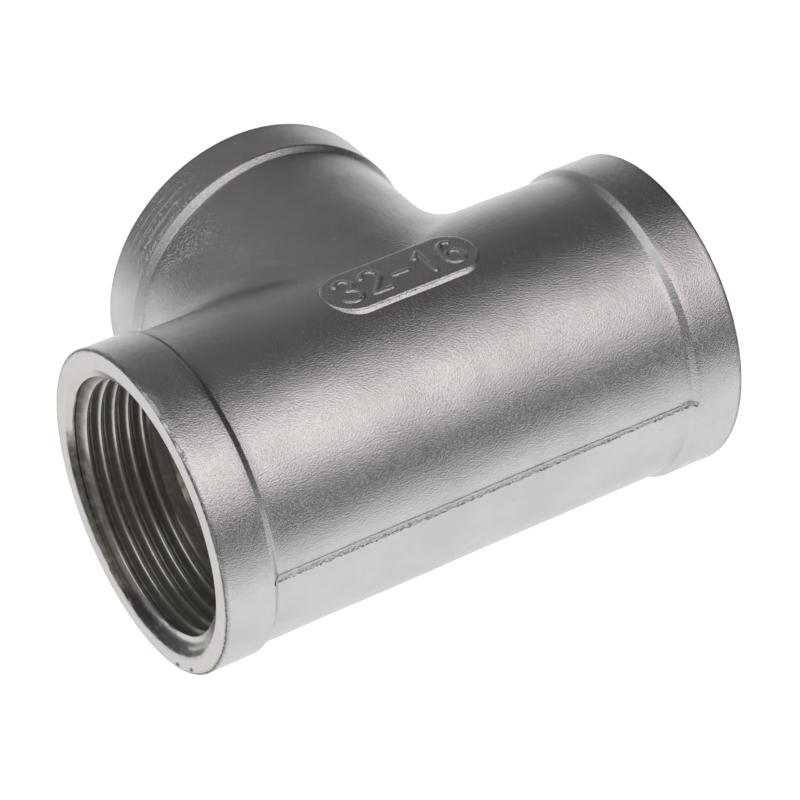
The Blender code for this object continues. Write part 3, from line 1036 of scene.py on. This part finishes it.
def cast_skin(colours):
    """Blasted and pickled skin of the casting."""
    if "blasted_cast_skin" in bpy.data.materials:
        return bpy.data.materials["blasted_cast_skin"]
    material, tree, shader = steel_material("blasted_cast_skin")
    grain = use_group(tree, blast_grain(), Grain_size=0.235, Fine_share=0.48)
    tone = use_group(tree, cloudiness(), Cloud_size=9.0)["Tone"]
    edges = use_group(tree, rubbed_edges(), Patch_size=0.45, Least=0.25)
    rubbed = edges["Mask"]
    grime = use_group(tree, settled_grime(), Patch_size=0.35, Least=0.25)["Mask"]
    dull = product(tree, calculate(tree, "SUBTRACT", 1.0, tone), CLOUD_DULLING)
    dull = calculate(tree, "MAXIMUM", dull, product(tree, grain["Pits"], PIT_DULLING))
    base = blend_colours(tree, dull, opaque(colours.cast), opaque(colours.cast_dull))
    base = blend_colours(tree, product(tree, rubbed, RUBBED_STEEL), base, opaque(colours.machined))
    # The stain mask here is mostly painted shade: dark reflections on the beads' corners, shade at the
    # shoulders' feet and along the ridge, with dirt in the ridge's pits
    base = blend_colours(tree, grime, base, opaque(colours.grime))
    tree.links.new(base, shader.inputs["Base Color"])
    rough = remap(tree, tone, 0.0, 1.0, *CAST_ROUGHNESS)
    rough = calculate(tree, "SUBTRACT", rough, product(tree, rubbed, RUBBED_SMOOTHER))
    rough = calculate(tree, "ADD", rough, product(tree, grime, GRIME_ROUGHER))
    tree.links.new(rough, shader.inputs["Roughness"])
    peel = bump(tree, grain["Height"], GRAIN_DEPTH)
    chipped = bump(tree, edges["Chips"], CHIP_DEPTH, peel)
    tree.links.new(chipped, shader.inputs["Normal"])
    return material


def machined_steel(colours):
    """Turned faces, countersinks and threads."""
    material, tree, shader = steel_material("machined_steel")
    lines = use_group(tree, turning_lines(), Feed=0.11)["Height"]
    tone = use_group(tree, cloudiness(), Cloud_size=3.5)["Tone"]
    rubbed = use_group(tree, rubbed_edges(), Patch_size=2.0, Least=0.75)["Mask"]
    scratch = use_group(tree, fine_scratches(), Spacing=0.9)["Mask"]
    film = use_group(tree, settled_grime(), Patch_size=1.5, Least=0.75)["Mask"]
    # Polish, partly painted highlight on the thread's crests and flanks, clears the film
    film = product(tree, film, calculate(tree, "SUBTRACT", 1.0, rubbed))
    dull = calculate(tree, "MAXIMUM", film, remap(tree, tone, 0.0, 1.0, 0.06, 0.0))
    base = blend_colours(tree, dull, opaque(colours.machined), opaque(colours.groove))
    # Caked colour where the film passes 0.8, which includes painted shade at the mouths
    base = blend_colours(tree, remap(tree, film, 0.8, 1.5), base, opaque(colours.caked))
    tree.links.new(base, shader.inputs["Base Color"])
    tree.links.new(remap(tree, film, 0.0, 1.0, 1.0, 0.20), shader.inputs["Metallic"])
    rough = remap(tree, film, 0.0, 1.0, *MACHINED_ROUGHNESS)
    rough = calculate(tree, "ADD", rough, product(tree, scratch, SCRATCH_ROUGHER))
    tree.links.new(rough, shader.inputs["Roughness"])
    tree.links.new(bump(tree, lines, TURNING_DEPTH), shader.inputs["Normal"])
    return material


def cored_wall(colours):
    """Bore left as the core formed it, in colours brightened to stand in for light reaching into the bore,
    with painted shade on the branch's bore and where the bores meet.
    """
    material, tree, shader = steel_material("cored_wall")
    grain = use_group(tree, blast_grain(), Grain_size=0.9, Fine_share=0.35)
    tone = use_group(tree, cloudiness(), Cloud_size=6.0)["Tone"]
    base = blend_colours(tree, tone, opaque(colours.cored_dull), opaque(colours.cored))
    oxide = use_group(tree, settled_grime(), Patch_size=3.0, Least=0.7)["Mask"]
    base = blend_colours(tree, product(tree, oxide, CORED_OXIDE), base, opaque(colours.groove))
    tree.links.new(base, shader.inputs["Base Color"])
    tree.links.new(remap(tree, tone, 0.0, 1.0, *CORED_ROUGHNESS), shader.inputs["Roughness"])
    tree.links.new(bump(tree, grain["Height"], CORED_GRAIN_DEPTH), shader.inputs["Normal"])
    return material


# Camera's direction from the tee, its roll and lens, and the small offset of its aim that frames
# the tee
CAMERA_AZIMUTH = math.radians(-31.48)
CAMERA_ELEVATION = math.radians(37.24)
CAMERA_ROLL = math.radians(-1.74)
CAMERA_LENS = 148.05
CAMERA_OFFSET = (-0.12 * MM, 1.0 * MM)

# Softbox: its direction from the tee, its sides as shares of its distance, and its warm colour
SOFTBOX_DIRECTION = Vector((0.18, -0.58, 0.70))
SOFTBOX_SIDES = (1.11, 0.93)
SOFTBOX_COLOUR = (1.0, 0.955, 0.925)

# Far edge of the table, behind the tee
TABLE_BACK = 3.0

# Middle of the room's darker side and of the side light, seen from the tee
DARK_SIDE = Vector((0.80, 0.15, 0.58)).normalized()
SIDE_LIGHT = Vector((-0.62, -0.06, 0.78)).normalized()

# Soft edges of the room's patches, from nothing to full: for the first two, the cosine of the angle
# to their middle, and for the others a part of the direction across, away from the camera or up
DARK_SIDE_EDGE = (0.72, 0.90)
SIDE_LIGHT_EDGE = (0.85, 0.91)
FRONT_AWAY = (-0.2, -0.6)
FRONT_UP = (0.5, 0.2)
CARD_ACROSS = (-0.75, -0.88)
CARD_AWAY = (-0.1, -0.3)
CARD_UP = (0.50, 0.35)
BACKDROP_AWAY = (-0.1, 0.35)
BACKDROP_LEFT = (-0.42, -0.25)
BACKDROP_RIGHT = (0.92, 0.78)
BACKDROP_UP = (0.22, -0.02)
BACKDROP_DROP = (0.40, 0.70, 0.0, 0.05)


def facing(back, level_axis):
    """Rotation whose local Z is a direction and whose local X is near a level axis."""
    back = back.normalized()
    side = (level_axis - back * level_axis.dot(back)).normalized()
    return Matrix((side, back.cross(side), back)).transposed()


def place_camera(studio):
    cosine = math.cos(CAMERA_ELEVATION)
    back = Vector(
        (cosine * math.sin(CAMERA_AZIMUTH), -cosine * math.cos(CAMERA_AZIMUTH), math.sin(CAMERA_ELEVATION))
    )
    right = Vector((0, 0, 1)).cross(back).normalized()
    rotation = facing(back, right) @ Matrix.Rotation(CAMERA_ROLL, 3, "Z")
    camera = bpy.data.objects.new("camera", bpy.data.cameras.new("camera"))
    camera.data.lens = CAMERA_LENS
    offset = rotation @ Vector((*CAMERA_OFFSET, studio.camera_distance))
    camera.matrix_world = Matrix.Translation(CROSSING + offset) @ rotation.to_4x4()
    bpy.context.scene.collection.objects.link(camera)
    bpy.context.scene.camera = camera


def hang_softbox(studio):
    lamp = bpy.data.lights.new("softbox", "AREA")
    lamp.shape = "RECTANGLE"
    lamp.size = SOFTBOX_SIDES[0] * studio.softbox_distance
    lamp.size_y = SOFTBOX_SIDES[1] * studio.softbox_distance
    lamp.energy = studio.softbox * math.pi * lamp.size * lamp.size_y
    lamp.color = SOFTBOX_COLOUR
    softbox = bpy.data.objects.new("softbox", lamp)
    rotation = facing(SOFTBOX_DIRECTION, Vector((1, 0, 0)))
    place = CROSSING + SOFTBOX_DIRECTION.normalized() * studio.softbox_distance
    softbox.matrix_world = Matrix.Translation(place) @ rotation.to_4x4()
    bpy.context.scene.collection.objects.link(softbox)


def lay_table(studio):
    """Pale matt table; camera and reflections see it nearly white, and it keeps the shadow."""
    bm = bmesh.new()
    bmesh.ops.create_grid(bm, x_segments=1, y_segments=1, size=1.0)
    front = CROSSING.y - studio.table_front
    left, right = CROSSING.x - studio.table_left, CROSSING.x + studio.table_right
    for vert in bm.verts:
        vert.co.x = left if vert.co.x < 0 else right
        vert.co.y = front if vert.co.y < 0 else TABLE_BACK
        vert.co.z = LOW.z
    mesh = bpy.data.meshes.new("table")
    bm.to_mesh(mesh)
    bm.free()
    table = bpy.data.objects.new("table", mesh)
    bpy.context.scene.collection.objects.link(table)
    material = bpy.data.materials.new("pale_table")
    material.use_nodes = True
    tree = material.node_tree
    shader = tree.nodes["Principled BSDF"]
    shader.inputs["Roughness"].default_value = 0.9
    shader.inputs["Specular IOR Level"].default_value = 0.0
    shader.inputs["Emission Color"].default_value = (1, 1, 1, 1)
    ray = place_node(tree, "ShaderNodeLightPath").outputs
    reflected = calculate(tree, "MAXIMUM", ray["Is Glossy Ray"], ray["Is Transmission Ray"])
    shade = blend_colours(tree, reflected, opaque(studio.table), opaque(studio.table_dim))
    tree.links.new(shade, shader.inputs["Base Color"])
    mirrored = product(tree, reflected, studio.table_mirrored)
    seen = product(tree, ray["Is Camera Ray"], studio.table_white)
    tree.links.new(calculate(tree, "MAXIMUM", mirrored, seen), shader.inputs["Emission Strength"])
    mesh.materials.append(material)


def toward(tree, direction, middle):
    """Cosine of the angle between a direction and the middle of a patch."""
    inputs = {0: direction, 1: middle}
    return place_node(tree, "ShaderNodeVectorMath", inputs, operation="DOT_PRODUCT").outputs["Value"]


def paint_world(studio):
    """White backdrop low behind the tee, a grey ceiling and a dim front."""
    world = bpy.data.worlds.new("pale_studio")
    world.use_nodes = True
    bpy.context.scene.world = world
    tree = world.node_tree
    direction = place_node(tree, "ShaderNodeTexCoord").outputs["Generated"]
    across, away, up = place_node(tree, "ShaderNodeSeparateXYZ", {0: direction}).outputs
    ray = place_node(tree, "ShaderNodeLightPath").outputs
    lowered = calculate(tree, "ADD", up, remap(tree, across, *BACKDROP_DROP))
    backdrop = product(
        tree,
        remap(tree, lowered, *BACKDROP_UP),
        remap(tree, away, *BACKDROP_AWAY),
        remap(tree, across, *BACKDROP_LEFT),
        remap(tree, across, *BACKDROP_RIGHT),
    )
    reflected = calculate(tree, "MAXIMUM", ray["Is Glossy Ray"], ray["Is Transmission Ray"])
    shown = calculate(tree, "MAXIMUM", product(tree, backdrop, reflected), ray["Is Camera Ray"])
    to_dark = toward(tree, direction, DARK_SIDE)
    ceiling = remap(tree, to_dark, *DARK_SIDE_EDGE, studio.ceiling, studio.ceiling_dark)
    frontal = product(tree, remap(tree, away, *FRONT_AWAY), remap(tree, up, *FRONT_UP))
    room = blend(tree, frontal, ceiling, studio.front)
    card = product(tree, remap(tree, across, *CARD_ACROSS), remap(tree, away, *CARD_AWAY))
    card = product(tree, card, remap(tree, up, *CARD_UP), reflected)
    room = blend(tree, card, room, studio.card)
    side = remap(tree, toward(tree, direction, SIDE_LIGHT), *SIDE_LIGHT_EDGE)
    room = blend(tree, product(tree, side, reflected), room, studio.side_light)
    background = tree.nodes["Background"]
    tree.links.new(blend(tree, shown, room, 1.0), background.inputs["Strength"])
    background.inputs["Color"].default_value = (1, 1, 1, 1)


class TEE_OT_studio(bpy.types.Operator):
    """Lay the pale table, hang the softbox, paint the world and place the camera"""

    bl_idname = "tee.studio"
    bl_label = "Studio"

    def execute(self, context):
        studio = context.scene.tee_studio
        lay_table(studio)
        hang_softbox(studio)
        paint_world(studio)
        place_camera(studio)
        context.scene.view_settings.view_transform = "Standard"
        return {"FINISHED"}


class VIEW3D_PT_tee(bpy.types.Panel):
    """Sizes, colours and steps of the threaded tee"""

    bl_label = "Threaded Tee"
    bl_space_type = "VIEW_3D"
    bl_region_type = "UI"
    bl_category = "Tee"

    def draw(self, context):
        for operator in OPERATORS:
            self.layout.operator(operator.bl_idname)
        for settings in (context.scene.tee_sizes, context.scene.tee_colours, context.scene.tee_studio):
            box = self.layout.box()
            for label in settings.__annotations__:
                box.prop(settings, label)


OPERATORS = (TEE_OT_casting, TEE_OT_marking_pad, TEE_OT_parting_ridge, TEE_OT_studio)
CLASSES = (TeeSizes, TeeColours, TeeStudio, *OPERATORS, VIEW3D_PT_tee)


def register():
    for each in CLASSES:
        bpy.utils.register_class(each)
    bpy.types.Scene.tee_sizes = PointerProperty(type=TeeSizes)
    bpy.types.Scene.tee_colours = PointerProperty(type=TeeColours)
    bpy.types.Scene.tee_studio = PointerProperty(type=TeeStudio)


def unregister():
    del bpy.types.Scene.tee_studio
    del bpy.types.Scene.tee_colours
    del bpy.types.Scene.tee_sizes
    for each in reversed(CLASSES):
        bpy.utils.unregister_class(each)


def main():
    register()
    bpy.ops.tee.casting()
    bpy.ops.tee.marking_pad()
    bpy.ops.tee.parting_ridge()
    bpy.ops.tee.studio()


if __name__ == "__main__":
    main()
